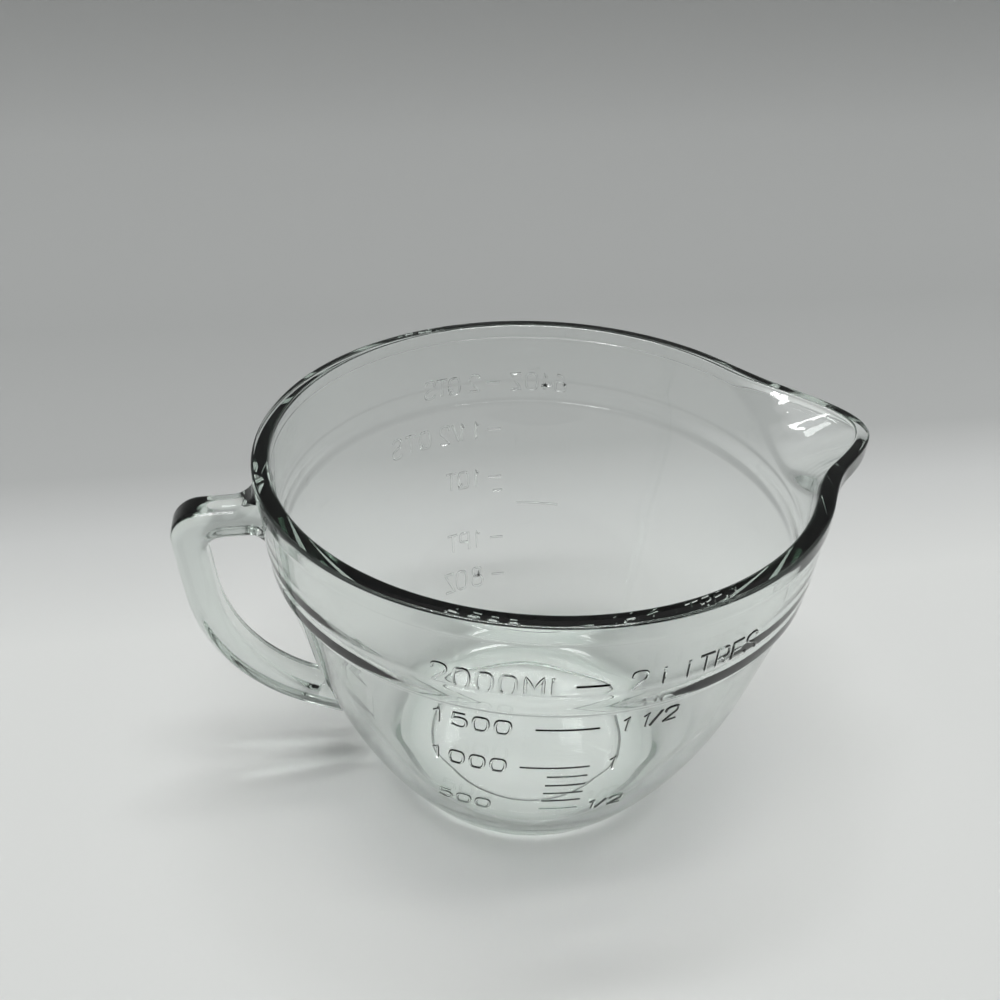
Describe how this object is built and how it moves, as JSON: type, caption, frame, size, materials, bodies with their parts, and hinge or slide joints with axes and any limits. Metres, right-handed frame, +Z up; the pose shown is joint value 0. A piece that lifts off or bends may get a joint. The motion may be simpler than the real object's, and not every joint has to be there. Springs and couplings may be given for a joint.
{
  "type": "batter bowl",
  "caption": "Clear pressed-glass batter bowl on a foot ring, with a V-shaped pouring spout, a loop handle and raised measuring scales.",
  "frame": {"origin": "centre of the foot ring, on the surface that the bowl stands on", "axes": "+Z up along the axis of the bowl, +X towards the spout, -X towards the handle, -Y towards the litre scale"},
  "size_m": [0.2421, 0.1924, 0.1402],
  "materials": {
    "clear_glass": "clear, fire-polished"
  },
  "bodies": {
    "root": {"bowl_wall": "clear_glass", "bowl_floor": "clear_glass", "foot_ring": "clear_glass", "rim_bead": "clear_glass", "pour_spout": "clear_glass", "handle": "clear_glass", "litre_scale": "clear_glass", "quart_scale": "clear_glass"}
  },
  "joints": []
}
